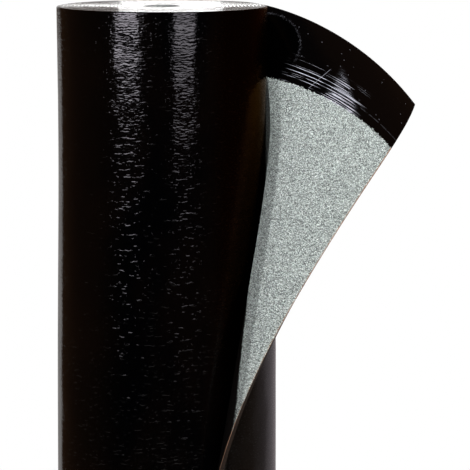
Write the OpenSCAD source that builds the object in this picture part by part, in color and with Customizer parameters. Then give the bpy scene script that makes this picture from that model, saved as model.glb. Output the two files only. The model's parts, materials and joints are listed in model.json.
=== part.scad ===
// Roll of mineral-faced roofing felt, standing on its end.
// The felt is wound with its mineral face inwards and its black film outwards.
// The free end lies at the front, and its top corner is peeled away to the right.

/* [Roll] */
// Width of the felt, which is the height of the standing roll
felt_width = 1000; // [800:10:1200]
// Thickness of the felt
felt_thickness = 4; // [3:0.25:6]
// Radius of the hole down the middle of the roll
bore_radius = 20; // [14:1:60]
// Number of whole turns under the loose outer turn
turns = 23; // [12:1:30]
// Room between the loose outer turn and the turn under it
lap_gap = 2.5; // [0.5:0.25:4]
// Angle from the free edge to where the outer turn lies tight again, in degrees
tight_angle = 235; // [200:5:300]

/* [Turns on the ends] */
// Width of the groove between two turns
groove_width = 0.9; // [0.4:0.1:1.5]
// Depth of the groove between two turns
groove_depth = 1.2; // [0.5:0.1:3]

/* [Peeled corner] */
// Place of the free edge round the roll, from the front towards the right, in degrees
edge_angle = 21; // [0:1:45]
// Length of the free edge that is lifted, down from the top end
peel_drop = 650; // [300:10:700]
// Angle of the roll that is laid bare evenly up to the top end, in degrees
even_angle = 50; // [20:1:70]
// Further angle that is laid bare close to the top end, in degrees
top_angle = 61; // [30:1:80]
// How close to the top end the further angle comes
top_power = 4; // [2:0.5:6]
// Least radius to which the lifted felt bends back
bend_radius = 20; // [12:1:40]
// Direction of the felt in plan at the free edge, where the peel starts, in degrees
low_heading = 80; // [20:1:90]
// Direction of the felt in plan at the free edge, at the top corner, in degrees
top_heading = 15; // [0:1:40]
// Downward slope of the felt at the top corner, in degrees
top_dive = 52; // [20:1:60]

/* [Hidden] */

// How the bend and the slope ease along the peel: below 1 they come early
bend_ease = 0.5;
dive_ease = 0.75;

// Radius of the whole turns, of the middle of the loose turn and of its outside
roll_radius = bore_radius + turns * felt_thickness;
lap_middle = roll_radius + lap_gap + felt_thickness / 2;
lap_outside = lap_middle + felt_thickness / 2;

// All of the roll that is laid bare at the top end
peel_angle = even_angle + top_angle;

// The loose turn joins the roll at the seam, just past the bare stretch
seam_angle = peel_angle + 14;
seam_lip = 0.4;
root_angle = 3;
sink = 1;

// Height at which the free edge starts to lift
peel_start = felt_width - peel_drop;

// Fineness of the outline, of the peeled sheet and of the path along it
outline_points = 72;
row_count = 16;
lifted_columns = 14;
wound_columns = 12;
path_steps = 48;

// The lifted columns spread over at least this angle and crowd towards the roll,
// and the slope of the sheet is taken over a short probe
least_angle = 16;
crowding = 1.4;
probe = 0.5;

function polar(radius, angle) = [radius * sin(angle), -radius * cos(angle)];
function mix(a, b, share) = a + (b - a) * share;
function arc_length(angle) = lap_middle * angle * PI / 180;
function unit(v) = v / norm(v);

// The outer turn closes on the roll past the seam, and the rest of the outline is round
function closing_radius(share) = mix(lap_outside + seam_lip, roll_radius, share);
closing_arc = [
    for (i = [0 : outline_points])
        let (share = i / outline_points)
            polar(closing_radius(share), edge_angle + mix(seam_angle, tight_angle, share))
];
tight_arc = [
    for (i = [1 : outline_points])
        let (share = i / outline_points)
            polar(roll_radius, edge_angle + mix(tight_angle, 360 + seam_angle, share))
];

// Lift is 0 where the peel starts and 1 at the top end
function lift_at(height) = max(0, (height - peel_start) / peel_drop);
function bare_angle(lift) = even_angle * lift + top_angle * pow(lift, top_power);
function leaving_heading(lift) = edge_angle + bare_angle(lift) - 180;
function edge_dive(lift) = top_dive * pow(lift, dive_ease);

// The sheet turns back from the roll, but no faster than its bend radius lets it
function full_turn(lift) = mix(low_heading, top_heading, lift) - leaving_heading(lift);
function free_turn(lift) = bare_angle(lift) * lap_middle / bend_radius;
function edge_turn(lift) = full_turn(lift) * (1 - exp(-free_turn(lift) / full_turn(lift)));

// Direction of the sheet at a share of the way from the roll to the free edge
function sheet_direction(lift, share) =
    let (
        heading = leaving_heading(lift) + edge_turn(lift) * pow(share, bend_ease),
        dive = edge_dive(lift) * pow(share, dive_ease)
    )
    [cos(dive) * cos(heading), cos(dive) * sin(heading), -sin(dive)];

// Path of one level of the sheet, from where it leaves the roll to the free edge
function peel_path(lift) =
    let (
        step = arc_length(bare_angle(lift)) / path_steps,
        leave = polar(lap_middle, edge_angle + bare_angle(lift))
    )
    [
        for (
            i = 0, p = [leave.x, leave.y, 0];
            i <= path_steps;
            i = i + 1, p = p + step * sheet_direction(lift, (i - 0.5) / path_steps)
        ) p
    ];

function along(path, share) =
    let (
        place = share * path_steps,
        i = min(floor(place), path_steps - 1)
    )
    mix(path[i], path[i + 1], place - i);

// Levels of the sheet, and angles along each from the free edge to its root in the roll
levels = concat([0], [for (i = [0 : row_count]) mix(peel_start, felt_width, i / row_count)]);
last_level = len(levels) - 1;
last_station = lifted_columns + wound_columns + 1;

// One column follows the line along which the sheet leaves the roll
function parting_angle(height) = max(least_angle, bare_angle(lift_at(height)));
function lifted_station(height, share) = parting_angle(height) * (1 - pow(1 - share, crowding));
function wound_station(height, share) = mix(parting_angle(height), seam_angle - root_angle, share);
stations = [
    for (height = levels)
        concat(
            [for (j = [0 : lifted_columns]) lifted_station(height, j / lifted_columns)],
            [for (j = [1 : wound_columns]) wound_station(height, j / wound_columns)],
            [seam_angle + root_angle]
        )
];

// Middle of the sheet at a height, and at an angle along it from the free edge
function sheet_point(height, angle) =
    let (
        lift = lift_at(height),
        bare = bare_angle(lift),
        on_roll = polar(lap_middle, edge_angle + angle)
    )
    lift > 0 && angle < bare
        ? along(peel_path(lift), 1 - angle / bare) + [0, 0, height]
        : [on_roll.x, on_roll.y, height];

// Direction out of the film face, from points a little to each side
function film_normal(height, angle) =
    unit(cross(
        sheet_point(height, angle + probe) - sheet_point(height, angle - probe),
        sheet_point(height + probe, angle) - sheet_point(height - probe, angle)
    ));

sheet = [
    for (i = [0 : last_level])
        [for (angle = stations[i]) sheet_point(levels[i], angle)]
];
normals = [
    for (i = [0 : last_level])
        [for (angle = stations[i]) film_normal(levels[i], angle)]
];

// The mineral face is sunk into the roll where the sheet still lies on it
sunk_depth = felt_thickness / 2 + lap_gap + sink;
freeing_length = 3 * felt_thickness;
function mineral_depth(i, j) =
    let (free = arc_length(bare_angle(lift_at(levels[i])) - stations[i][j]))
    mix(sunk_depth, felt_thickness / 2, min(1, max(0, free / freeing_length)));

film_face = [
    for (i = [0 : last_level])
        for (j = [0 : last_station])
            sheet[i][j] + normals[i][j] * felt_thickness / 2
];
mineral_face = [
    for (i = [0 : last_level])
        for (j = [0 : last_station])
            sheet[i][j] - normals[i][j] * mineral_depth(i, j)
];

// Corner numbers of the two faces, and the two triangles between four corners
function film_corner(i, j) = i * (last_station + 1) + j;
function mineral_corner(i, j) = len(film_face) + film_corner(i, j);
function split(a, b, c, d) = [[a, b, c], [a, c, d]];

sheet_triangles = [
    for (i = [0 : last_level - 1])
        for (j = [0 : last_station - 1])
            for (triangle = concat(
                split(
                    film_corner(i, j),
                    film_corner(i + 1, j),
                    film_corner(i + 1, j + 1),
                    film_corner(i, j + 1)
                ),
                split(
                    mineral_corner(i, j),
                    mineral_corner(i, j + 1),
                    mineral_corner(i + 1, j + 1),
                    mineral_corner(i + 1, j)
                )
            )) triangle
];

// Triangles that close the sheet between its faces at the free edge and at the root
side_triangles = [
    for (i = [0 : last_level - 1])
        for (triangle = concat(
            split(
                film_corner(i, 0),
                mineral_corner(i, 0),
                mineral_corner(i + 1, 0),
                film_corner(i + 1, 0)
            ),
            split(
                film_corner(i, last_station),
                film_corner(i + 1, last_station),
                mineral_corner(i + 1, last_station),
                mineral_corner(i, last_station)
            )
        )) triangle
];

// Triangles that close the sheet along its bottom and top edges
end_triangles = [
    for (j = [0 : last_station - 1])
        for (triangle = concat(
            split(
                film_corner(0, j),
                film_corner(0, j + 1),
                mineral_corner(0, j + 1),
                mineral_corner(0, j)
            ),
            split(
                film_corner(last_level, j),
                mineral_corner(last_level, j),
                mineral_corner(last_level, j + 1),
                film_corner(last_level, j + 1)
            )
        )) triangle
];

module loose_sheet() {
    polyhedron(
        points = concat(film_face, mineral_face),
        faces = concat(sheet_triangles, side_triangles, end_triangles),
        convexity = 6
    );
}

// Ring grooves that part the turns on one end of the roll
module end_grooves() {
    rotate_extrude($fn = 180)
        for (turn = [1 : turns])
            translate([bore_radius + turn * felt_thickness, 0])
                polygon([
                    [0, -groove_depth],
                    [groove_width / 2, 0],
                    [groove_width / 2, groove_depth],
                    [-groove_width / 2, groove_depth],
                    [-groove_width / 2, 0]
                ]);
}

module wound_turns() {
    difference() {
        linear_extrude(felt_width)
            polygon(concat(closing_arc, tight_arc));
        translate([0, 0, -1])
            cylinder(r = bore_radius, h = felt_width + 2, $fn = 120);
        translate([0, 0, felt_width])
            end_grooves();
        mirror([0, 0, 1])
            end_grooves();
    }
}

module felt_roll() {
    color("#18171a")
        union() {
            wound_turns();
            loose_sheet();
        }
}

felt_roll();
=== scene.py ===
import json
import math

import bmesh
import bpy
import numpy as np
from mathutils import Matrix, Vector


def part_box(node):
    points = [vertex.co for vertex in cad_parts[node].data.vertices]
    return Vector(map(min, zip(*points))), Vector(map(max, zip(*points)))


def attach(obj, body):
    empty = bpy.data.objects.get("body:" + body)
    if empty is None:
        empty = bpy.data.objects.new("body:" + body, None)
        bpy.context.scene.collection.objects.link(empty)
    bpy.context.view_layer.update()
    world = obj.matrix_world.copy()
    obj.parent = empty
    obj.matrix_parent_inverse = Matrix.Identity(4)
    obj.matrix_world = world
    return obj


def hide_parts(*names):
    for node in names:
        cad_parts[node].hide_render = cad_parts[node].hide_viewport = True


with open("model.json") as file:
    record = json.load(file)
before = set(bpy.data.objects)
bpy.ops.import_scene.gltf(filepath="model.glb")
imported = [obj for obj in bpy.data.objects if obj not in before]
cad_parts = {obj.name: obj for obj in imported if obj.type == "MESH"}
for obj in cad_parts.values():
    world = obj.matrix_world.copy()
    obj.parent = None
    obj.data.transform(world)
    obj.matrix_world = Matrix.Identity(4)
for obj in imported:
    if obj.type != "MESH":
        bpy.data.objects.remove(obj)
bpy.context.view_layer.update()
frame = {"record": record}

mounts = {mount["name"]: mount for mount in frame["record"]["mounts"]}
boreSizes = mounts["bore"]["dims"]
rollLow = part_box("felt_roll")[0]

roll = {  # the wound felt: metres, and degrees along the felt from its free edge
    "width": boreSizes["length_mm"] / 1000,
    "bore": boreSizes["r_mm"] / 1000,
    "outside": -rollLow[0],  # the tight turns reach furthest to the left
    "thickness": 0.004,
    "lapGap": 0.0025,  # room under the loose turn
    "seamPast": 14,  # the loose turn starts to close this far past the bare stretch
    "tightAngle": 235,  # and lies tight again here
    "selvage": 0.078,  # plain black band along the top edge
    "edgeRound": 0.0016,
    "roundSteps": 4,
    "pinch": 0.0022,  # how far the film draws in below the top end
    "pinchFrom": 150,
    "pinchHeight": 0.85,
    "pinchReach": 0.16,
    "slack": 0.002,  # how far the loose turn stands off, beside the free edge
    "slackFrom": (35, 62),
    "slackTo": (128, 95),
    "slackHeight": (0.78, 0.62),
}
peel = {  # the lifted top corner
    "edgeAngle": 21,  # the free edge, from the front towards the right
    "drop": 0.65,  # lifted length of the free edge
    "evenAngle": 50,  # roll laid bare evenly up to the top
    "topAngle": 61,  # and more of it close to the top
    "topPower": 4,
    "bendRadius": 0.02,
    "headings": (80, 15),  # plan direction at the free edge, low and at the corner
    "topDive": 52,  # downward slope at the corner
    "bendEase": 0.5,
    "diveEase": 0.75,
    "steps": 64,
    "probe": (0.4, 0.0005),  # degrees and metres over which the slope of the felt is taken
}
uvName = "feltLengths"  # u runs along the felt and v across it, both in metres

rollRadius = round(roll["outside"], 3)
turnCount = round((rollRadius - roll["bore"]) / roll["thickness"])
lapMiddle = rollRadius + roll["lapGap"] + roll["thickness"] / 2
seamAngle = peel["evenAngle"] + peel["topAngle"] + roll["seamPast"]
peelStart = roll["width"] - peel["drop"]
selvageEdge = roll["width"] - roll["selvage"]


class Wire:  # a node socket that takes part in sums
    def __init__(self, tree, socket=None):
        self.tree = tree
        self.socket = socket

    def add(self, kind, settings=None, inputs=None, out=0):
        node = self.tree.nodes.new(kind)
        for name, value in (settings or {}).items():
            if name == "stops":
                setStops(node.color_ramp, value)
            else:
                setattr(node, name, value)
        for name, value in (inputs or {}).items():
            if isinstance(value, Wire):
                self.tree.links.new(value.socket, node.inputs[name])
            else:
                node.inputs[name].default_value = value
        return Wire(self.tree, node.outputs[out] if len(node.outputs) else None)

    def also(self, out):  # another output of the same node
        return Wire(self.tree, self.socket.node.outputs[out])

    def math(self, operation, *values):
        return self.add("ShaderNodeMath", {"operation": operation}, dict(enumerate(values)))

    def __add__(self, other):
        return self.math("ADD", self, other)

    def __radd__(self, other):
        return self.math("ADD", other, self)

    def __sub__(self, other):
        return self.math("SUBTRACT", self, other)

    def __rsub__(self, other):
        return self.math("SUBTRACT", other, self)

    def __mul__(self, other):
        return self.math("MULTIPLY", self, other)

    def __rmul__(self, other):
        return self.math("MULTIPLY", other, self)

    def __pow__(self, other):
        return self.math("POWER", self, other)

    def __rpow__(self, other):
        return self.math("POWER", other, self)

    def __abs__(self):
        return self.math("ABSOLUTE", self)

    def ramp(self, start, end, low=0.0, high=1.0):  # eased step from start to end
        values = {"Value": self, "From Min": start, "From Max": end, "To Min": low, "To Max": high}
        return self.add("ShaderNodeMapRange", {"interpolation_type": "SMOOTHSTEP"}, values)

    def blend(self, first, second):  # colour mix, self is the share of the second
        return self.add("ShaderNodeMix", {"data_type": "RGBA"}, {0: self, 6: first, 7: second}, 2)


def setStops(ramp, stops):
    while len(ramp.elements) < len(stops):
        ramp.elements.new(0.5)
    for element, (place, colour) in zip(ramp.elements, stops):
        element.position = place
        element.color = colour


def newMaterial(name):
    material = bpy.data.materials.new(name)
    material.use_nodes = True
    material.node_tree.nodes.clear()
    return material, Wire(material.node_tree)


def closeMaterial(wire, skin, other=None, share=0.0):  # share of the other skin
    surface = wire.add("ShaderNodeBsdfPrincipled", {}, skin, "BSDF")
    if other:
        second = wire.add("ShaderNodeBsdfPrincipled", {}, other, "BSDF")
        surface = wire.add("ShaderNodeMixShader", {}, {0: share, 1: surface, 2: second})
    wire.add("ShaderNodeOutputMaterial", {}, {"Surface": surface})


def stretchedNoise(wire, place, scale, detail=1.0, roughness=0.5, shift=0.0):  # scale is per metre
    stretch = {"Vector": place, "Scale": (*scale, 1), "Location": (shift, shift, 0)}
    spots = wire.add("ShaderNodeMapping", {}, stretch)
    inputs = {"Vector": spots, "Scale": 1.0, "Detail": detail, "Roughness": roughness}
    return wire.add("ShaderNodeTexNoise", {"noise_dimensions": "2D"}, inputs)


def cells(wire, place, scale):  # distance from the middle of a cell, and the cell's own chance value
    settings = {"voronoi_dimensions": "2D", "feature": "F1"}
    far = wire.add("ShaderNodeTexVoronoi", settings, {"Vector": place, "Scale": scale}, "Distance")
    return far, wire.add("ShaderNodeSeparateColor", {}, {0: far.also("Color")}, "Red")


def relief(wire, height, strength=1.0):  # height is in metres
    return wire.add("ShaderNodeBump", {}, {"Height": height, "Distance": 1.0, "Strength": strength})


def feltPlace(wire):
    place = wire.add("ShaderNodeUVMap", {"uv_map": uvName})
    along = wire.add("ShaderNodeSeparateXYZ", {}, {0: place}, "X")
    return place, along, along.also("Y")


# In the looks below a ramp is its start and end, then its values there unless they are 0 and 1.
filmLook = {  # thin burn-off film, shrunk into fine creases that run round the roll
    "black": (0.0002, 0.0002, 0.0003, 1),
    "brown": (0.0009, 0.0005, 0.0004, 1),
    "brownShare": (0.35, 0.7),
    "metal": 0.0,
    "tint": (1, 1, 1, 1),
    "refraction": 1.34,
    "gloss": (0.05, 0.12),  # least and most roughness
    "glossShare": (0.3, 0.8),
    "lapDull": 0.16,  # duller beside the free edge
    "lapEnd": (0.26, 0.20),  # metres from the free edge
    "wave": {"scale": (150, 70), "shift": 9.2},
    "waveDepth": 0.0026,  # how far a crease strays from its line
    "crease": {"scale": (130, 480), "roughness": 0.4},
    "creaseDepth": 0.000085,
    "patch": {"scale": (14, 9), "detail": 2.0, "shift": 5.3},
    "patchRough": (0.25, 0.75, 0.7, 1.2),
    "tightTop": (0.94, 0.99, 1.0, 1.7),  # the creases are deepest beside the top end
    "tightLap": (0.63, 0.70, 1.0, 1.5),  # and where the lap begins
    "ridge": {"scale": (55, 500), "roughness": 0.4, "shift": 4.9},
    "ridgeDepth": 0.000095,
    "ridgeShare": (0.58, 0.74),
    "break": {"scale": (150, 260), "roughness": 0.4, "shift": 7.6},  # ridges come in short lengths
    "breakShare": (0.44, 0.62),
    "ridgeFade": (0.40, 0.72, 0.6, 1.0),  # fewer of them towards the foot
    "ridgeStart": (0.20, 0.45),  # and none on the lap
    "fine": {"scale": (260, 700), "shift": 3.7},
    "fineDepth": 0.00003,
    "swell": {"scale": (22, 22), "roughness": 0.4, "shift": 8.1},
    "swellDepth": 0.0009,
    "speckScale": 210,
    "speckDepth": 0.00012,
    "speckSize": (0.15, 0.0),
    "speckShare": (0.72, 1.0),
    "speckTop": (0.92, 0.99, 0.0, 0.2),  # more of them beside the top end
}
coveredLook = {  # the same film where it lay under the lap: duller and browner
    "from": (0.738, 0.768),  # metres from the free edge
    "black": (0.016, 0.0062, 0.0025, 1),
    "brown": (0.020, 0.0078, 0.003, 1),
    "metal": 1.0,  # its reflections are brown, as on a dark metal
    "tint": (0.70, 0.57, 0.49, 1),
    "gloss": (0.2, 0.3),
}


def filmMaterial():
    material, wire = newMaterial("burnOffFilm")
    look = filmLook
    place, along, across = feltPlace(wire)
    stray = (stretchedNoise(wire, place, **look["wave"]) - 0.5) * look["waveDepth"]
    stray = wire.add("ShaderNodeCombineXYZ", {}, {"Y": stray})
    bent = wire.add("ShaderNodeVectorMath", {"operation": "ADD"}, {0: place, 1: stray})
    crease = stretchedNoise(wire, bent, **look["crease"])
    patch = stretchedNoise(wire, place, **look["patch"])
    crease = crease * patch.ramp(*look["patchRough"])
    crease = crease * across.ramp(*look["tightTop"]) * along.ramp(*look["tightLap"])
    ridge = stretchedNoise(wire, bent, **look["ridge"]).ramp(*look["ridgeShare"])
    ridge = ridge * stretchedNoise(wire, place, **look["break"]).ramp(*look["breakShare"])
    ridge = ridge * across.ramp(*look["ridgeFade"]) * along.ramp(*look["ridgeStart"])
    fine = stretchedNoise(wire, place, **look["fine"])
    swell = stretchedNoise(wire, place, **look["swell"])
    far, chance = cells(wire, place, look["speckScale"])
    chosen = (chance + across.ramp(*look["speckTop"])).ramp(*look["speckShare"])
    speck = far.ramp(*look["speckSize"]) * chosen
    height = crease * look["creaseDepth"] + fine * look["fineDepth"] + ridge * look["ridgeDepth"]
    height = height + swell * look["swellDepth"] + speck * look["speckDepth"]
    bump = relief(wire, height)
    dull = along.ramp(*look["lapEnd"]) * look["lapDull"]
    skins = []
    for skin in (look, coveredLook):
        skins.append({
            "Base Color": patch.ramp(*look["brownShare"]).blend(skin["black"], skin["brown"]),
            "Roughness": fine.ramp(*look["glossShare"], *skin["gloss"]) + dull,
            "Normal": bump,
            "IOR": look["refraction"],
            "Metallic": skin["metal"],
            "Specular Tint": skin["tint"],
        })
    closeMaterial(wire, *skins, share=along.ramp(*coveredLook["from"]))
    return material


selvageLook = {  # the same film laid flat along the lap edge, creased and scratched lengthways
    "black": (0.0007, 0.0005, 0.0005, 1),
    # painted reflection: the deeper black for the dark roll mirrored inside the light line
    "deep": (0.0001, 0.0001, 0.0001, 1),
    "scratch": (0.31, 0.315, 0.365, 1),
    "refraction": 1.34,
    "gloss": (0.3, 0.8, 0.09, 0.18),
    "markDull": 0.3,  # duller where it is marked
    "crease": {"scale": (14, 260), "detail": 2.0, "shift": 2.2},
    "creaseDepth": 0.00025,
    "patch": {"scale": (40, 26), "detail": 2.0, "shift": 1.3},
    "crumb": {"scale": (170, 170), "detail": 2.0, "roughness": 0.6, "shift": 3.1},
    "line": {"scale": (18, 850), "roughness": 0.4, "shift": 6.4},
    "lineShare": (0.65, 0.70),
    "linePatch": (0.36, 0.52, 0.25, 1.0),
    "wornFrom": (0.045, 0.065),  # metres along and across the felt
    "wornTo": (0.150, 0.125),
    "wornUp": (0.958, 0.940),
    "speckScale": 170,
    "speckSize": (0.12, 0.03),
    "speckShare": (0.9, 0.94),
    "speckStrength": 0.25,
}
paintedSheenLook = {  # painted sheen: a bright patch among the scratches, with a slanted left side
    "edge": (0.0549, 0.9333),  # one point of that side
    "lean": 1.08,
    "rise": (0.0, 0.009),
    "end": (0.095, 0.083),
    "foot": (0.924, 0.929),
    "lines": 0.12,  # more scratches show in the painted sheen
    "streak": {"scale": (90, 900), "detail": 2.0, "roughness": 0.6, "shift": 2.7},
    "streakShare": (0.45, 0.60, 0.06, 1.0),
    "crumbShare": (0.35, 0.6, 0.35, 1.0),
    "strength": 0.16,
}
rubLook = {  # a rubbed line beside the granules
    "height": 0.934,
    "width": (0.0007, 0.0002),
    "end": (0.06, 0.045),
    "crumbShare": (0.4, 0.55),
    "strength": 0.06,
}
crossingLook = {  # one scratch across the others
    "ends": ((0.1090, 0.926), (0.1015, 0.953)),
    "width": (0.0005, 0.0001),
    "taper": 0.003,
    "strength": 0.3,
}
rimReflectionLook = {  # painted reflection: a faint ragged light line, the roll's bright top rim mirrored in the film, with a deeper black inside it where the dark roll is mirrored
    "middle": (0.1818, 0.949),
    "radius": 0.043,
    "grit": {"scale": (620, 620), "detail": 2.0, "roughness": 0.6, "shift": 5.9},
    "stray": 0.16,
    "width": (0.03, 0.0),  # in radii, as the two below
    "inside": (1.03, 0.97),
    "clean": (0.98, 1.05),  # no specks inside
    "foot": (0.94, 0.952),
    "crumbShare": (0.40, 0.62, 0.1, 1.0),
    "gap": {"scale": (900, 900), "shift": 1.7},
    "gapShare": (0.38, 0.58),
    "strength": 0.13,
}


def crossingMark(along, across):
    start, end = crossingLook["ends"]
    taper = crossingLook["taper"]
    lean = (end[0] - start[0]) / (end[1] - start[1])
    away = abs(along - start[0] - (across - start[1]) * lean)
    reach = across.ramp(start[1] - taper, start[1]) * across.ramp(end[1] + taper, end[1])
    return away.ramp(*crossingLook["width"]) * reach * crossingLook["strength"]


def selvageMaterial():
    material, wire = newMaterial("selvageFilm")
    look = selvageLook
    place, along, across = feltPlace(wire)
    patch = stretchedNoise(wire, place, **look["patch"])
    crumb = stretchedNoise(wire, place, **look["crumb"])

    # scratches along the felt, and the painted sheen among them
    lean = (across - paintedSheenLook["edge"][1]) * paintedSheenLook["lean"]
    paintedSheen = (along - paintedSheenLook["edge"][0] - lean).ramp(*paintedSheenLook["rise"]) * along.ramp(*paintedSheenLook["end"])
    worn = along.ramp(*look["wornFrom"]) * along.ramp(*look["wornTo"]) * across.ramp(*look["wornUp"])
    line = stretchedNoise(wire, place, **look["line"]) + paintedSheen * paintedSheenLook["lines"]
    mark = line.ramp(*look["lineShare"]) * worn * patch.ramp(*look["linePatch"])
    streak = stretchedNoise(wire, place, **paintedSheenLook["streak"]).ramp(*paintedSheenLook["streakShare"])
    paintedSheen = paintedSheen * across.ramp(*paintedSheenLook["foot"]) * streak * crumb.ramp(*paintedSheenLook["crumbShare"])
    mark = mark + paintedSheen * paintedSheenLook["strength"]

    # the rubbed line and the scratch that crosses
    rub = abs(across - rubLook["height"]).ramp(*rubLook["width"]) * along.ramp(*rubLook["end"])
    mark = mark + rub * crumb.ramp(*rubLook["crumbShare"]) * rubLook["strength"]
    mark = mark + crossingMark(along, across)

    # the painted reflection of the roll and its rim, and the specks outside it
    grit = stretchedNoise(wire, place, **rimReflectionLook["grit"]) - 0.5
    reflectionRing = ((along - rimReflectionLook["middle"][0]) ** 2 + (across - rimReflectionLook["middle"][1]) ** 2) ** 0.5
    reflectionRing = reflectionRing * (1 / rimReflectionLook["radius"]) + grit * rimReflectionLook["stray"]
    rimReflection = abs(reflectionRing - 1).ramp(*rimReflectionLook["width"]) * across.ramp(*rimReflectionLook["foot"])
    rimReflection = rimReflection * crumb.ramp(*rimReflectionLook["crumbShare"])
    rimReflection = rimReflection * stretchedNoise(wire, place, **rimReflectionLook["gap"]).ramp(*rimReflectionLook["gapShare"])
    far, chance = cells(wire, place, look["speckScale"])
    speck = far.ramp(*look["speckSize"]) * chance.ramp(*look["speckShare"])
    speck = speck * reflectionRing.ramp(*rimReflectionLook["clean"])
    mark = mark + rimReflection * rimReflectionLook["strength"] + speck * look["speckStrength"]

    mark = wire.math("MINIMUM", mark, 1.0)
    # painted reflection: deeper black where the dark roll is mirrored
    plain = reflectionRing.ramp(*rimReflectionLook["inside"]).blend(look["black"], look["deep"])
    crease = abs(stretchedNoise(wire, place, **look["crease"]) - 0.5)
    closeMaterial(wire, {
        "Base Color": mark.blend(plain, look["scratch"]),
        "Roughness": patch.ramp(*look["gloss"]) + mark * look["markDull"],
        "IOR": look["refraction"],
        "Normal": relief(wire, crease * look["creaseDepth"]),
    })
    return material


mineralLook = {  # bed under the granules: grit pressed into bitumen
    "dark": (0.045, 0.048, 0.046, 1),
    "grey": (0.36, 0.39, 0.375, 1),
    "gritSize": 0.0011,
    "gritDepth": 0.0005,
    "gritShare": (0.7, 0.35),
    "gritRelief": 0.8,
    "bendShadeDark": 0.5,  # painted shade: the bed is less grey where the felt is sharply bent along the fold
    "roughness": 0.85,
    "bare": (0.002, 0.0015, 0.0012, 1),  # near-black painted shade for the depth of the fold and below its foot, drawn as bitumen without grit
    "bareRoughness": 0.6,
    "bareShine": 0.05,
}


def mineralMaterial():
    material, wire = newMaterial("mineralBed")
    look = mineralLook
    place = feltPlace(wire)[0]
    far, tone = cells(wire, place, 1 / look["gritSize"])
    bend = wire.add("ShaderNodeAttribute", {"attribute_name": "bend"}, {}, "Fac")
    # the bare share is painted shade: a near-black bed in the depth of the fold and below its foot
    bare = wire.add("ShaderNodeAttribute", {"attribute_name": "bare"}, {}, "Fac")
    # painted shade along the fold darkens the bed
    share = tone * far.ramp(*look["gritShare"]) * (1 - bend * look["bendShadeDark"])
    grit = {
        "Base Color": share.blend(look["dark"], look["grey"]),
        "Roughness": look["roughness"],
        "Normal": relief(wire, (1 - far) * look["gritDepth"], look["gritRelief"]),
    }
    bitumen = {
        "Base Color": look["bare"],
        "Roughness": look["bareRoughness"],
        "Specular IOR Level": look["bareShine"],
    }
    closeMaterial(wire, grit, bitumen, bare)
    return material


granuleLook = {  # slate chips, from the few dark ones to the few light ones
    "stops": [
        (0.00, (0.025, 0.028, 0.028, 1)),
        (0.16, (0.140, 0.160, 0.155, 1)),
        (0.50, (0.393, 0.445, 0.426, 1)),
        (0.84, (0.670, 0.735, 0.710, 1)),
        (1.00, (0.915, 0.960, 0.940, 1)),
    ],
    "roughness": 0.8,
}


def granuleMaterial():
    material, wire = newMaterial("slateGranules")
    tone = wire.add("ShaderNodeAttribute", {"attribute_name": "tone"}, {}, "Fac")
    tint = wire.add("ShaderNodeValToRGB", {"stops": granuleLook["stops"]}, {"Fac": tone}, "Color")
    closeMaterial(wire, {"Base Color": tint, "Roughness": granuleLook["roughness"]})
    return material


bitumenLook = {  # the pressed edges of the felt, on both ends of the roll
    "black": (0.010, 0.0095, 0.0098, 1),
    "grey": (0.03, 0.028, 0.029, 1),
    "greyShare": (0.35, 0.75),
    "grainScale": 260,
    "grainDepth": 0.00005,
    "gloss": (0.3, 0.7, 0.15, 0.3),
    "refraction": 1.55,
    "coat": 0.8,
    "coatGloss": 0.1,
}


def bitumenMaterial():
    material, wire = newMaterial("bitumenEdge")
    look = bitumenLook
    place = wire.add("ShaderNodeTexCoord", {}, {}, "Object")
    inputs = {"Vector": place, "Scale": look["grainScale"], "Detail": 2.0}
    grain = wire.add("ShaderNodeTexNoise", {}, inputs)
    closeMaterial(wire, {
        "Base Color": grain.ramp(*look["greyShare"]).blend(look["black"], look["grey"]),
        "Roughness": grain.ramp(*look["gloss"]),
        "IOR": look["refraction"],
        "Normal": relief(wire, grain * look["grainDepth"]),
        "Coat Weight": look["coat"],
        "Coat Roughness": look["coatGloss"],
    })
    return material


cutEdgeLook = {  # the free edge, cut with a knife
    "black": (0.004, 0.0025, 0.002, 1),
    "brown": (0.020, 0.011, 0.006, 1),
    "tan": (0.29, 0.165, 0.108, 1),
    "tanFrom": (0.0001, 0.0006),  # paler on the mineral side
    "fibre": {"scale": (1, 600), "detail": 3.0, "roughness": 0.6},
    "fibreShare": (0.35, 0.7),
    "roughness": 0.7,
    "shine": 0.15,
}


def cutEdgeMaterial():
    material, wire = newMaterial("knifeCutEdge")
    look = cutEdgeLook
    place, along = feltPlace(wire)[:2]
    fibre = stretchedNoise(wire, place, **look["fibre"]).ramp(*look["fibreShare"])
    dark = fibre.blend(look["black"], look["brown"])
    closeMaterial(wire, {
        "Base Color": along.ramp(*look["tanFrom"]).blend(dark, look["tan"]),
        "Roughness": look["roughness"],
        "Specular IOR Level": look["shine"],
    })
    return material


finishes = {
    "film": filmMaterial(),
    "selvage": selvageMaterial(),
    "mineral": mineralMaterial(),
    "granule": granuleMaterial(),
    "bitumen": bitumenMaterial(),
    "cutEdge": cutEdgeMaterial(),
}
print("materials made:", len(finishes))


def mix(first, second, share):
    return first + (second - first) * share


def ease(values, start, end):
    share = np.clip((values - start) / (end - start), 0, 1)
    return share * share * (3 - 2 * share)


def polar(radius, angle, height):
    turn = np.radians(peel["edgeAngle"] + angle)
    radius, turn, height = np.broadcast_arrays(radius, turn, height)
    return np.stack([radius * np.sin(turn), -radius * np.cos(turn), height], -1)


def turnRadius(angle):  # middle of the felt, at degrees along it from the free edge
    turn = np.floor(angle / 360)
    part = angle - 360 * turn
    here = np.where(turn == 0, lapMiddle, rollRadius - roll["thickness"] * (turn - 0.5))
    after = rollRadius - roll["thickness"] * (turn + 0.5)
    return mix(here, after, np.clip((part - seamAngle) / (roll["tightAngle"] - seamAngle), 0, 1))


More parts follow.
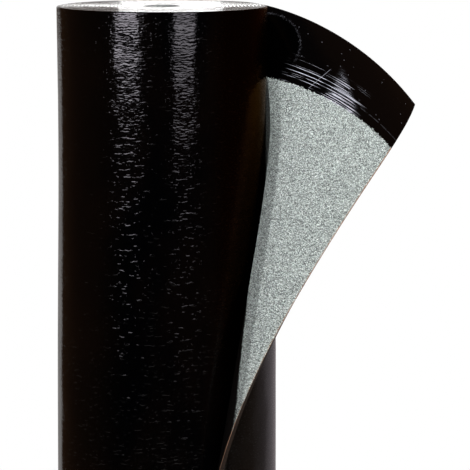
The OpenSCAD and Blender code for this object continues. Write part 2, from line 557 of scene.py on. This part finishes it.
def pinchAt(heights, angles):  # the tight film draws in a little below the top end
    hollow = np.exp(-(((heights - roll["pinchHeight"]) / roll["pinchReach"]) ** 2))
    return roll["pinch"] * hollow * ease(angles, roll["pinchFrom"], roll["tightAngle"])


def slackAt(heights, angles):  # the loose turn stands off a little on the right, below the peel
    side = ease(angles, *roll["slackFrom"]) * ease(angles, *roll["slackTo"])
    return roll["slack"] * side * ease(heights, *roll["slackHeight"])


def liftAt(heights):  # 0 where the peel starts and 1 at the top end
    return np.maximum(0, (heights - peelStart) / peel["drop"])


def bareAngle(lift):
    return peel["evenAngle"] * lift + peel["topAngle"] * lift ** peel["topPower"]


def sheetMiddle(heights, angles):  # heights down the rows, angles over the whole grid
    lift = liftAt(heights)[:, None]
    bare = bareAngle(lift)
    share = (np.arange(peel["steps"]) + 0.5)[None, :] / peel["steps"]
    leaving = peel["edgeAngle"] + bare - 180
    fullTurn = mix(*peel["headings"], lift) - leaving
    edgeTurn = fullTurn * (1 - np.exp(-bare * lapMiddle / peel["bendRadius"] / fullTurn))
    heading = np.radians(leaving + edgeTurn * share ** peel["bendEase"])
    dive = np.radians(peel["topDive"] * (lift * share) ** peel["diveEase"])
    moves = [np.cos(dive) * np.cos(heading), np.cos(dive) * np.sin(heading), -np.sin(dive)]
    moves = np.stack(moves, -1) * (lapMiddle * np.radians(bare) / peel["steps"])[..., None]
    start = polar(lapMiddle, bare, heights[:, None])
    path = np.concatenate([start, start + np.cumsum(moves, 1)], 1)
    place = np.clip(1 - angles / np.maximum(bare, 1e-6), 0, 1) * peel["steps"]
    low = np.minimum(place.astype(int), peel["steps"] - 1)
    part = (place - low)[..., None]
    row = np.arange(len(heights))[:, None]
    lifted = mix(path[row, low], path[row, low + 1], part)
    tall = heights[:, None]
    wound = polar(turnRadius(angles) - pinchAt(tall, angles) + slackAt(tall, angles), angles, tall)
    return np.where((angles < bare)[..., None], lifted, wound)


def sheetNormals(heights, angles):  # out of the film face
    turn, rise = peel["probe"]
    along = sheetMiddle(heights, angles + turn) - sheetMiddle(heights, angles - turn)
    up = sheetMiddle(heights + rise, angles) - sheetMiddle(heights - rise, angles)
    normals = np.cross(along, up)
    return normals / np.linalg.norm(normals, axis=-1, keepdims=True)


def keepPiece(piece):
    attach(piece, "root")
    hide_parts("felt_roll")


sharpAngle = 48  # degrees, past which two faces meet in a sharp edge


def addPiece(name, points, faces, materials, indices, places):
    mesh = bpy.data.meshes.new(name)
    mesh.from_pydata(points.tolist(), [], faces)
    for material in materials:
        mesh.materials.append(finishes[material])
    mesh.polygons.foreach_set("material_index", indices)
    mesh.polygons.foreach_set("use_smooth", [True] * len(mesh.polygons))
    corners = np.empty(len(mesh.loops), dtype=np.int32)
    mesh.loops.foreach_get("vertex_index", corners)
    layer = mesh.uv_layers.new(name=uvName)
    layer.uv.foreach_set("vector", places[corners].astype(np.float32).ravel())
    mesh.set_sharp_from_angle(angle=math.radians(sharpAngle))
    mesh.update()
    piece = bpy.data.objects.new(name, mesh)
    bpy.context.collection.objects.link(piece)
    keepPiece(piece)
    return piece


def addNumbers(mesh, name, values):  # one value for each point of the mesh
    values = values.ravel().astype(np.float32)
    mesh.attributes.new(name, "FLOAT", "POINT").data.foreach_set("value", values)


outerTurn = {  # one turn and the stretch that the peel lays bare
    "materials": ["film", "selvage", "mineral", "bitumen", "cutEdge"],
    "lowRows": 40,
    "peelRows": 112,
    "selvageRows": 18,
    "edgeRow": 0.0005,  # a row close to the rounded edges keeps the face flat
    "liftedColumns": 40,
    "woundColumns": 24,
    "columnAngle": 2.8,
    "leastAngle": 16,  # the lifted columns never stand closer than over this angle
    "crowding": 1.4,  # and crowd towards the line where the felt leaves the roll
    "overlap": 12,
    "edgeStrip": 0.6,  # degrees of bare fibre along the free edge
    "bendShadeTurn": (-39, -43),  # painted shade along the fold: granules fewer and darker where the felt faces this far to the left
    "bendShadeHeight": (0.97, 0.84),
    "foldShadeHeights": (0.60, 0.69, 0.73),  # painted shade: no granules and a near-black bed where the felt faces as far as this, low in the fold
    "foldShadeTurns": (-50, -70, -100),
    "foldShadeSoft": (3, -3),
    "foot": (0.615, 0.565),  # painted shade: no granules and a near-black bed below here
}
sheetEnd = 360 + seamAngle + outerTurn["overlap"]


def facing(normals):  # degrees from the front towards the right, for the mineral face
    return np.degrees(np.arctan2(-normals[..., 0], normals[..., 1]))


def bendShadeAt(heights, normals):  # painted shade: 1 where the lifted felt turns sharply away from the roll, facing left into shade
    return ease(facing(normals), *outerTurn["bendShadeTurn"]) * ease(heights, *outerTurn["bendShadeHeight"])[:, None]


def foldShadeAt(heights, normals):  # painted shade: 1 in the depth of the fold and below its foot, where it is dark
    limit = np.interp(heights, outerTurn["foldShadeHeights"], outerTurn["foldShadeTurns"])[:, None]
    deep = ease(facing(normals) - limit, *outerTurn["foldShadeSoft"])
    return np.maximum(deep, ease(heights, *outerTurn["foot"])[:, None])


def sheetHeights():
    width, curve = roll["width"], roll["edgeRound"]
    rise = curve * (1 - np.sin(np.linspace(math.pi / 2, 0, roll["roundSteps"] + 1)))
    near = curve + outerTurn["edgeRow"]
    return np.concatenate([
        rise,
        np.linspace(near, peelStart, outerTurn["lowRows"])[:-1],
        np.linspace(peelStart, selvageEdge, outerTurn["peelRows"])[:-1],
        np.linspace(selvageEdge, width - near, outerTurn["selvageRows"]),
        width - rise[::-1],
    ])


def sheetHalf(heights):  # half of the felt, rounded off at its two edges
    curve = roll["edgeRound"]
    inside = np.minimum(np.minimum(heights, roll["width"] - heights), curve)
    return roll["thickness"] / 2 - curve + np.sqrt(np.maximum(0, curve ** 2 - (curve - inside) ** 2))


def sheetAngles(heights):
    parting = np.maximum(outerTurn["leastAngle"], bareAngle(liftAt(heights)))[:, None]
    share = np.linspace(1, 0, outerTurn["liftedColumns"])
    strip = outerTurn["edgeStrip"]
    lifted = strip + (parting - strip) * (1 - share ** outerTurn["crowding"])
    wound = mix(parting, seamAngle, np.linspace(0, 1, outerTurn["woundColumns"])[1:])
    rest = np.linspace(seamAngle, sheetEnd, int((sheetEnd - seamAngle) / outerTurn["columnAngle"]))[1:]
    first = np.zeros((len(heights), 1))
    return np.concatenate([first, lifted, wound, np.tile(rest, (len(heights), 1))], 1)


def buildOuterTurn():
    heights = sheetHeights()
    angles = sheetAngles(heights)
    rows, columns = angles.shape
    middle = sheetMiddle(heights, angles)
    normals = sheetNormals(heights, angles)
    offset = normals * sheetHalf(heights)[:, None, None]

    # each column is a loop up the film face and down the mineral face
    points = np.concatenate([middle + offset, (middle - offset)[::-1]]).transpose(1, 0, 2).reshape(-1, 3)
    lengths = lapMiddle * np.radians(angles)
    loopLengths = np.concatenate([lengths, lengths[::-1]])
    loopHeights = np.concatenate([heights, heights[::-1]])
    places = np.stack([loopLengths, np.tile(loopHeights[:, None], columns)], -1)
    places = places.transpose(1, 0, 2).reshape(-1, 2)

    # material of each face round the loop
    film, selvage, mineral, bitumen, cutEdge = range(len(outerTurn["materials"]))
    around = 2 * rows
    k = np.arange(around)
    level = (loopHeights + np.roll(loopHeights, -1)) / 2
    kinds = np.where(k < rows, film, np.where(level > selvageEdge, selvage, mineral))
    kinds[[rows - 1, around - 1]] = bitumen
    kinds = np.tile(kinds, (columns - 1, 1))
    kinds[0, kinds[0] == mineral] = cutEdge
    indices = kinds.ravel().tolist()

    nextK = (k + 1) % around
    j = np.arange(columns - 1)[:, None] * around
    faces = np.stack([j + k, j + around + k, j + around + nextK, j + nextK], -1).reshape(-1, 4).tolist()
    root = (columns - 1) * around
    for i in range(rows - 1):  # close the free edge and the root
        freeFace = [i, i + 1, around - 2 - i, around - 1 - i]
        faces.append(freeFace)
        faces.append([root + corner for corner in reversed(freeFace)])
        indices += [cutEdge, bitumen]
    piece = addPiece("outer_turn", points, faces, outerTurn["materials"], indices, places)
    # painted shade along the fold, on the lifted felt only
    bend = bendShadeAt(heights, normals) * (angles < bareAngle(liftAt(heights))[:, None])
    # both are painted shade, stored on the points
    for name, values in (("bend", bend), ("bare", foldShadeAt(heights, normals))):
        addNumbers(piece.data, name, np.concatenate([values, values[::-1]]).T)
    return piece


turnEnds = {  # edges of the inner turns on both ends, and the wall of the bore
    "materials": ["bitumen", "mineral"],
    "columnAngle": 3,
    "half": 0.00192,  # half of the felt where it shows, less the gap between turns
    "bevel": 0.00025,
    "depth": 0.006,
    "stray": 0.0003,  # how far an edge may lie below its neighbours
    "strayWaves": ((0.73, 1.0, 1.0), (0.211, 0.0, 0.7), (2.03, 2.0, 0.5)),  # rate, start and share
    "weld": 1e-6,
}


def strayAt(angle):  # the edges of a wound roll never lie quite level
    turn = np.radians(angle)
    waves = turnEnds["strayWaves"]
    wave = sum(share * np.sin(rate * turn + start) for rate, start, share in waves)
    most = sum(share for rate, start, share in waves)
    return turnEnds["stray"] * (1 + wave / most) / 2


def buildTurnEnds():
    step = turnEnds["columnAngle"]
    angles = np.arange(sheetEnd, 360 * turnCount + seamAngle, step)
    half, bevel, depth = turnEnds["half"], turnEnds["bevel"], turnEnds["depth"]

    # corners of one edge from its mineral side outwards, and one on the next turn to close the gap
    across = np.array([-half, -half, bevel - half, half - bevel, half, half])
    down = np.array([depth, bevel, 0, 0, bevel, depth])
    strays = np.array([0, 1, 1, 1, 1, 0])
    radius = turnRadius(angles)[:, None] + across
    radius = np.concatenate([radius, (turnRadius(angles - 360) - half)[:, None]], 1)
    sunk = down + strays * strayAt(angles)[:, None]
    sunk = np.concatenate([sunk, np.full((len(angles), 1), depth)], 1)
    top = polar(radius, angles[:, None], roll["width"] - sunk)
    bottom = polar(radius, angles[:, None], sunk)
    points = np.concatenate([top.reshape(-1, 3), bottom.reshape(-1, 3)])
    columns, corners = radius.shape
    lengths = np.repeat(np.cumsum(turnRadius(angles)) * math.radians(step), corners)
    places = np.stack([np.tile(lengths, 2), points[:, 2]], -1)

    bitumen, mineral = range(len(turnEnds["materials"]))
    under = columns * corners
    faces, indices = [], []
    for j in range(columns - 1):
        for c in range(corners - 1):
            a = j * corners + c
            b = a + corners
            faces.append([a, a + 1, b + 1, b])
            faces.append([under + a, under + b, under + b + 1, under + a + 1])
            indices += [mineral if c == 0 else bitumen, mineral if c < 2 else bitumen]
    turnColumns = int(360 / step)
    for j in range(columns - 1 - turnColumns, columns - 1):  # the wall of the bore
        a = j * corners
        b = a + corners
        faces.append([a, b, under + b, under + a])
        indices.append(mineral)
    for j in range(turnColumns):  # the outside, under the outer turn
        a = j * corners + corners - 1
        b = a + corners
        faces.append([a, under + a, under + b, b])
        indices.append(bitumen)
    profile = list(range(corners)) + [under + c for c in reversed(range(corners))]
    last = (columns - 1) * corners
    faces.append(profile)
    faces.append([last + c for c in reversed(profile)])
    indices += [bitumen, bitumen]
    piece = addPiece("turn_ends", points, faces, turnEnds["materials"], indices, places)
    shape = bmesh.new()
    shape.from_mesh(piece.data)
    bmesh.ops.remove_doubles(shape, verts=shape.verts, dist=turnEnds["weld"])  # joins each gap's floor
    shape.to_mesh(piece.data)
    shape.free()
    return piece


granules = {  # chips pressed into the lifted mineral face
    "density": 1700000.0,  # per square metre
    "size": 0.00066,
    "height": 0.00055,
    "seed": 7,
    "tilt": 0.5,  # radians
    "bulk": ((0.6, 0.6, 0.5), (1.35, 1.2, 1.3)),  # least and most
    "bendShadeLoss": 0.3,  # painted shade: share of them left out where the felt is sharply bent along the fold
    "bendShadeTone": 0.30,  # painted shade: how much darker the rest are there
    "spill": 0.0016,  # how unevenly they end beside the selvage
    "spillSoft": 0.0008,
    "spillWaves": ((1310, 0), (811, 2), (2070, 4)),  # rate per metre and start
    "spillShift": 0.2,
    "rows": 170,
    "spillRows": 9,
    "columns": 150,
    "nearEdge": 0.994,  # the bed stops just short of the free edge
    "past": 3,  # degrees of bed past the line where the felt leaves the roll
}


def granuleBed():  # the mineral face where it is lifted, as a bare patch
    spill = granules["spill"]
    heights = np.linspace(outerTurn["foot"][1], selvageEdge - spill, granules["rows"])
    ragged = np.linspace(selvageEdge - spill, selvageEdge + spill, granules["spillRows"])
    heights = np.concatenate([heights, ragged[1:]])
    bare = bareAngle(liftAt(heights))[:, None]
    share = np.linspace(granules["nearEdge"], 0, granules["columns"])
    angles = (bare + granules["past"]) * (1 - share ** outerTurn["crowding"])
    normals = sheetNormals(heights, angles)
    points = (sheetMiddle(heights, angles) - normals * roll["thickness"] / 2).reshape(-1, 3)
    lengths = lapMiddle * np.radians(angles)
    waves = granules["spillWaves"]
    wave = sum(np.sin(lengths * rate + start) for rate, start in waves) / len(waves)
    over = heights[:, None] - selvageEdge - spill * (wave - granules["spillShift"])
    # painted shade along the fold: fewer chips there
    bend = bendShadeAt(heights, normals)
    thin = np.maximum(bend * granules["bendShadeLoss"], ease(over, 0, granules["spillSoft"]))
    # and none in the painted shade deep in the fold and below its foot
    thin = np.maximum(thin, foldShadeAt(heights, normals))
    rows, columns = angles.shape
    corner = np.arange(rows * columns).reshape(rows, columns)
    faces = np.stack([corner[:-1, :-1], corner[1:, :-1], corner[1:, 1:], corner[:-1, 1:]], -1)
    mesh = bpy.data.meshes.new("granuleBed")
    mesh.from_pydata(points.tolist(), [], faces.reshape(-1, 4).tolist())
    addNumbers(mesh, "thin", thin)
    addNumbers(mesh, "bend", bend)
    mesh.update()
    return mesh


def granuleTree():
    tree = bpy.data.node_groups.new("scatterGranules", "GeometryNodeTree")
    face = tree.interface
    face.new_socket("Bed", in_out="INPUT", socket_type="NodeSocketGeometry")
    for name, kind in (("Density", "Float"), ("Size", "Float"), ("Height", "Float"), ("Seed", "Int")):
        face.new_socket(name, in_out="INPUT", socket_type="NodeSocket" + kind)
    face.new_socket("Granules", in_out="OUTPUT", socket_type="NodeSocketGeometry")
    wire = Wire(tree)
    bed = wire.add("NodeGroupInput", {}, {}, "Bed")
    density, size, height, seed = [bed.also(name) for name in ("Density", "Size", "Height", "Seed")]
    thin = wire.add("GeometryNodeInputNamedAttribute", {"data_type": "FLOAT"}, {"Name": "thin"})
    points = wire.add(
        "GeometryNodeDistributePointsOnFaces",
        {"distribute_method": "RANDOM"},
        {"Mesh": bed, "Density": density * (1 - thin), "Seed": seed},
        "Points",
    )
    chip = wire.add(
        "GeometryNodeMeshCone",
        {"fill_type": "NGON"},
        {"Vertices": 3, "Radius Top": 0.0, "Radius Bottom": size, "Depth": height},
        "Mesh",
    )
    chip = wire.add("GeometryNodeSetShadeSmooth", {}, {"Geometry": chip, "Shade Smooth": False})
    tilt = granules["tilt"]
    spin = wire.add(
        "FunctionNodeRandomValue",
        {"data_type": "FLOAT_VECTOR"},
        {0: (-tilt, -tilt, 0.0), 1: (tilt, tilt, math.tau), "Seed": seed},
    )
    spin = wire.add("FunctionNodeEulerToRotation", {}, {0: spin})
    turned = wire.add(
        "FunctionNodeRotateRotation",
        {"rotation_space": "LOCAL"},
        {0: points.also("Rotation"), 1: spin},
    )
    least, most = granules["bulk"]
    bulk = wire.add(
        "FunctionNodeRandomValue",
        {"data_type": "FLOAT_VECTOR"},
        {0: least, 1: most, "Seed": seed + 1},
    )
    placed = wire.add(
        "GeometryNodeInstanceOnPoints",
        {},
        {"Points": points, "Instance": chip, "Rotation": turned, "Scale": bulk},
    )
    # painted shade along the fold: the chips there are darker
    bend = wire.add("GeometryNodeInputNamedAttribute", {"data_type": "FLOAT"}, {"Name": "bend"})
    tone = wire.add("FunctionNodeRandomValue", {"data_type": "FLOAT"}, {"Seed": seed + 2}, 1)
    toned = wire.add(
        "GeometryNodeStoreNamedAttribute",
        {"data_type": "FLOAT", "domain": "INSTANCE"},
        {"Geometry": placed, "Name": "tone", "Value": tone * (1 - bend * granules["bendShadeTone"])},
    )
    solid = wire.add("GeometryNodeRealizeInstances", {}, {"Geometry": toned})
    done = wire.add("GeometryNodeSetMaterial", {}, {"Geometry": solid, "Material": finishes["granule"]})
    wire.add("NodeGroupOutput", {}, {0: done})
    return tree


def buildGranules():
    bed = bpy.data.objects.new("granuleBed", granuleBed())
    bpy.context.collection.objects.link(bed)
    scatter = bed.modifiers.new("scatter", "NODES")
    scatter.node_group = granuleTree()
    values = {"Density": "density", "Size": "size", "Height": "height", "Seed": "seed"}
    for item in scatter.node_group.interface.items_tree:
        if item.name in values:
            scatter[item.identifier] = granules[values[item.name]]
    shown = bed.evaluated_get(bpy.context.evaluated_depsgraph_get())
    mesh = bpy.data.meshes.new_from_object(shown)
    mesh.name = "granules"
    bpy.data.objects.remove(bed)
    piece = bpy.data.objects.new("granules", mesh)
    bpy.context.collection.objects.link(piece)
    keepPiece(piece)
    return piece


def triangles(piece):
    return sum(len(polygon.vertices) - 2 for polygon in piece.data.polygons)


for build in (buildOuterTurn, buildTurnEnds, buildGranules):
    piece = build()
    print(piece.name, triangles(piece), "triangles")

floorLook = {
    "radius": 2.2,
    "corners": 96,
    "fade": (0.75, 2.1),  # clears into the white background
    "colour": (0.86, 0.86, 0.85, 1),
}


def buildFloor():
    radius, count = floorLook["radius"], floorLook["corners"]
    turns = [i * math.tau / count for i in range(count)]
    points = [(radius * math.cos(turn), radius * math.sin(turn), 0) for turn in turns]
    mesh = bpy.data.meshes.new("floor")
    mesh.from_pydata(points, [], [list(range(count))])
    material, wire = newMaterial("paleFloor")
    place = wire.add("ShaderNodeTexCoord", {}, {}, "Object")
    far = wire.add("ShaderNodeVectorMath", {"operation": "LENGTH"}, {0: place}, "Value")
    paint = wire.add("ShaderNodeBsdfDiffuse", {}, {"Color": floorLook["colour"]})
    gone = wire.add("ShaderNodeBsdfTransparent")
    skin = wire.add("ShaderNodeMixShader", {}, {0: far.ramp(*floorLook["fade"]), 1: paint, 2: gone})
    wire.add("ShaderNodeOutputMaterial", {}, {"Surface": skin})
    mesh.materials.append(material)
    floor = bpy.data.objects.new("floor", mesh)
    bpy.context.collection.objects.link(floor)


coolLight = (0.98, 0.93, 1.03)
warmLight = (1.0, 0.9, 0.7)
softBoxes = {  # round the roll in degrees from the front, and seen in the film only
    "leftBox": {"turn": -36, "reach": 1.1, "span": 26, "low": 0.90, "high": 1.42, "radiance": 14},
    "leftGlow": {"turn": -33.5, "reach": 1.12, "span": 36, "low": 0.98, "high": 1.42, "radiance": 2.5},
    "rightBox": {"turn": 24, "reach": 1.1, "span": 21, "low": 0.885, "high": 1.42, "radiance": 6.6},
    "turnCard": {"turn": 113, "reach": 1.0, "span": 13, "low": 0.0, "high": 0.62, "radiance": 0.15},
    "backCard": {"turn": 143.5, "reach": 1.0, "span": 48, "low": 0.0, "high": 0.62, "radiance": 0.42},
    "sideCard": {"turn": 92, "reach": 1.0, "span": 40, "low": 0.0, "high": 0.62, "radiance": 0.055},
}
lamps = {  # light for the granules and the floor, and one behind the roll for its top end
    "keyLamp": {"place": (0.15, -3.6, 2.6), "aim": (0.1, 0, 0.8), "size": (0.8, 0.8), "power": 168},
    "sideLamp": {"place": (2.2, -1.3, 2.9), "aim": (0.3, 0, 0.85), "size": (0.9, 0.9), "power": 88},
    "skyLamp": {"place": (0, 0, 3.4), "aim": (0, 0, 0), "size": (1.8, 1.8), "power": 36},
    "rimLamp": {"place": (-0.006, 0.9, 1.16), "aim": (-0.006, 0, 1.16), "size": (0.13, 0.3), "power": 0.46},
}
mirroredLamps = ["rimLamp"]  # the others don't show in the film


def addLamp(name, place, way, size, power):
    lamp = bpy.data.lights.new(name, "AREA")
    lamp.shape = "RECTANGLE"
    lamp.size, lamp.size_y = size
    lamp.energy = power
    body = bpy.data.objects.new(name, lamp)
    body.location = place
    body.rotation_euler = way.to_track_quat("-Z", "Y").to_euler()
    body.visible_camera = False
    bpy.context.collection.objects.link(body)
    return body


def buildSoftBox(name, colour):
    look = softBoxes[name]
    turn = math.radians(look["turn"])
    inwards = Vector((-math.sin(turn), math.cos(turn), 0))
    middle = Vector((0, 0, (look["high"] + look["low"]) / 2))
    width = 2 * look["reach"] * math.sin(math.radians(look["span"] / 2))
    height = look["high"] - look["low"]
    power = look["radiance"] * math.pi * width * height
    box = addLamp(name, middle - inwards * look["reach"], inwards, (width, height), power)
    box.data.color = colour
    box.visible_diffuse = False


def buildLamp(name):
    look = lamps[name]
    way = Vector(look["aim"]) - Vector(look["place"])
    lamp = addLamp(name, look["place"], way, look["size"], look["power"])
    lamp.visible_glossy = name in mirroredLamps


room = {  # a dim brown room with a white cloth behind the roll, as the film reflects it
    "dark": (0.003, 0.003, 0.004, 1),
    "brown": (0.075, 0.038, 0.02, 1),
    "sideTurn": (145, 95),  # the room grows dark towards the front
    "lowCloth": [(-38, 0.0), (-33, 0.5), (-29, 0.54), (-25, 0.44), (-18, 0.38), (-12, 0.38), (4, 0.0)],
    "highCloth": [(-36, 0.0), (-28, 0.5), (28, 0.5), (36, 0.0)],  # degrees from straight behind
    "lowTop": (-0.052, -0.075),  # upward part of the direction
    "highFoot": (-0.01, 0.03),
    "highTop": (0.22, 0.14),
    "white": (1, 1, 1, 1),
}


def levels(wire, value, points):  # straight lines from point to point
    low, high = points[0][0], points[-1][0]
    stops = [((place - low) / (high - low), (level, level, level, 1)) for place, level in points]
    share = (value - low) * (1 / (high - low))
    return wire.add("ShaderNodeValToRGB", {"stops": stops}, {"Fac": share}, "Color")


def buildWorld():
    world = bpy.data.worlds.new("studio")
    world.use_nodes = True
    world.node_tree.nodes.clear()
    wire = Wire(world.node_tree)
    way = wire.add("ShaderNodeTexCoord", {}, {}, "Generated")
    x = wire.add("ShaderNodeSeparateXYZ", {}, {0: way}, "X")
    y, z = x.also("Y"), x.also("Z")
    turn = wire.math("ARCTAN2", x, y) * (180 / math.pi)  # from straight behind towards the right
    walls = abs(turn).ramp(*room["sideTurn"]).blend(room["dark"], room["brown"])
    low = levels(wire, turn, room["lowCloth"]) * z.ramp(*room["lowTop"])
    high = levels(wire, turn, room["highCloth"])
    share = (low + (high - low) * z.ramp(*room["highFoot"])) * z.ramp(*room["highTop"])
    shown = share.blend(walls, room["white"])
    seen = wire.add("ShaderNodeLightPath", {}, {}, "Is Camera Ray")
    colour = seen.blend(shown, room["white"])
    light = wire.add("ShaderNodeBackground", {}, {"Color": colour, "Strength": 1.0})
    wire.add("ShaderNodeOutputWorld", {}, {"Surface": light})
    bpy.context.scene.world = world


view = {  # the photograph's viewpoint, a little above the top end
    "place": (0.077, -4.0, 1.228),
    "aim": (0.077, 0.0, 0.757),
    "lens": 290.8,
    "sensor": 36,
    "reach": 100,
}


def buildCamera():
    data = bpy.data.cameras.new("view")
    data.lens = view["lens"]
    data.sensor_width = view["sensor"]
    data.clip_end = view["reach"]
    camera = bpy.data.objects.new("view", data)
    camera.location = view["place"]
    look = Vector(view["aim"]) - Vector(view["place"])
    camera.rotation_euler = look.to_track_quat("-Z", "Y").to_euler()
    bpy.context.collection.objects.link(camera)
    bpy.context.scene.camera = camera


buildFloor()
for name in softBoxes:
    buildSoftBox(name, warmLight if name == "sideCard" else coolLight)
for name in lamps:
    buildLamp(name)
buildWorld()
buildCamera()
bpy.context.scene.view_settings.view_transform = "Standard"
print("stage, lamps and camera made")
